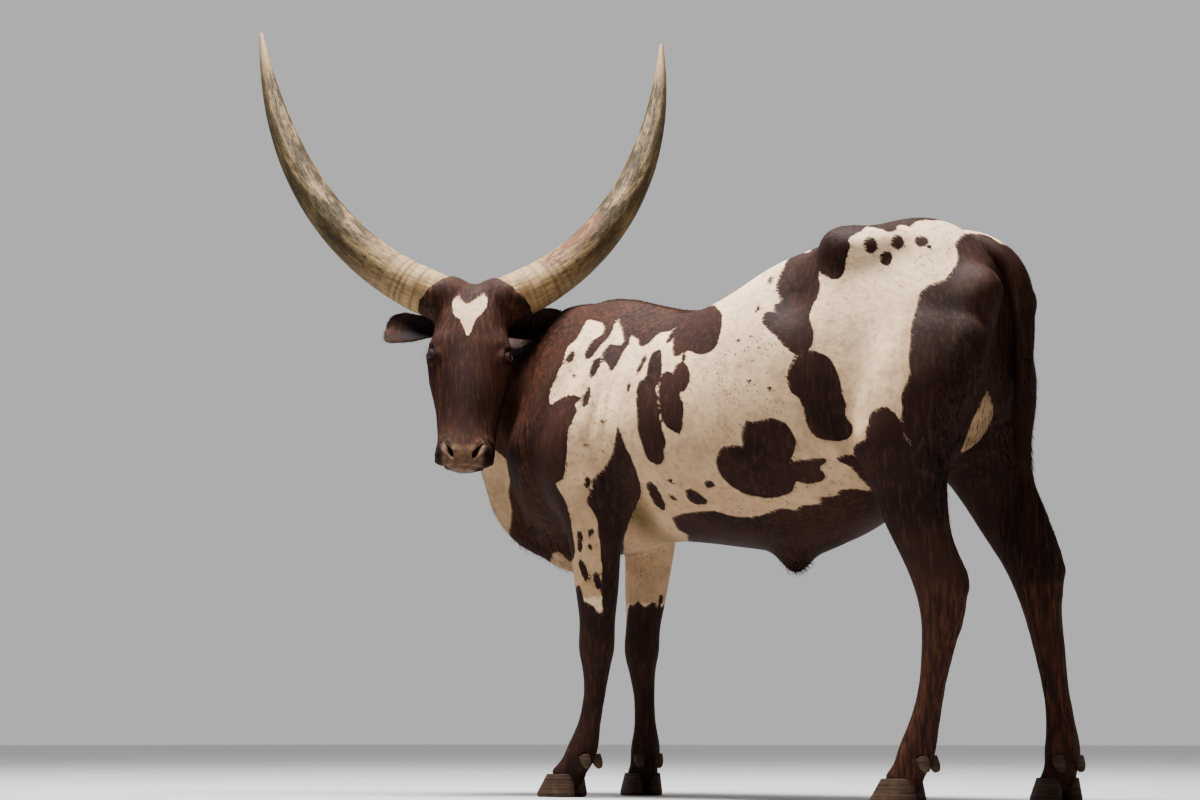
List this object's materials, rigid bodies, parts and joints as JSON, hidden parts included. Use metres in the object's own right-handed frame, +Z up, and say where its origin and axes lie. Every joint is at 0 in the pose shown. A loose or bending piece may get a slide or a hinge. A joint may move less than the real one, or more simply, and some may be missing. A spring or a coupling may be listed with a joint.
{
  "type": "ankole watusi bull",
  "caption": "Life-size standing longhorn bull with its head turned back over its left shoulder, lyre horns, cream and dark brown coat.",
  "frame": {"origin": "on the floor, under the middle of the whole model's box", "axes": "-X towards the front of the trunk, -Y to the bull's left, +Z up; the head is turned 41 degrees past square to the trunk, towards the rear"},
  "size_m": [2.1959, 0.8128, 2.1474],
  "materials": {
    "hide_brown": "short dark chocolate-brown coat over hide",
    "hide_cream": "short cream coat over hide, with brown patches and freckles",
    "tail_hair": "long dark hair",
    "horn": "fibrous grey-tan horn, growth rings at the root",
    "hoof": "dull dark horn of hooves and dewclaws",
    "eye": "wet dark brown eyeball"
  },
  "bodies": {
    "root": {"dewclaw_fore_left_inner": "hoof", "dewclaw_fore_left_outer": "hoof", "dewclaw_fore_right_inner": "hoof", "dewclaw_fore_right_outer": "hoof", "dewclaw_hind_left_inner": "hoof", "dewclaw_hind_left_outer": "hoof", "dewclaw_hind_right_inner": "hoof", "dewclaw_hind_right_outer": "hoof", "ear_left": "hide_brown", "ear_right": "hide_brown", "eye_left": "eye", "eye_right": "eye", "head": "hide_brown", "hoof_fore_left_inner": "hoof", "hoof_fore_left_outer": "hoof", "hoof_fore_right_inner": "hoof", "hoof_fore_right_outer": "hoof", "hoof_hind_left_inner": "hoof", "hoof_hind_left_outer": "hoof", "hoof_hind_right_inner": "hoof", "hoof_hind_right_outer": "hoof", "horn_left": "horn", "horn_right": "horn", "leg_fore_left": "hide_brown", "leg_fore_right": "hide_brown", "leg_hind_left": "hide_brown", "leg_hind_right": "hide_brown", "neck": "hide_brown", "tail": "hide_brown", "tail_switch": "tail_hair", "trunk": "hide_cream"}
  },
  "joints": []
}
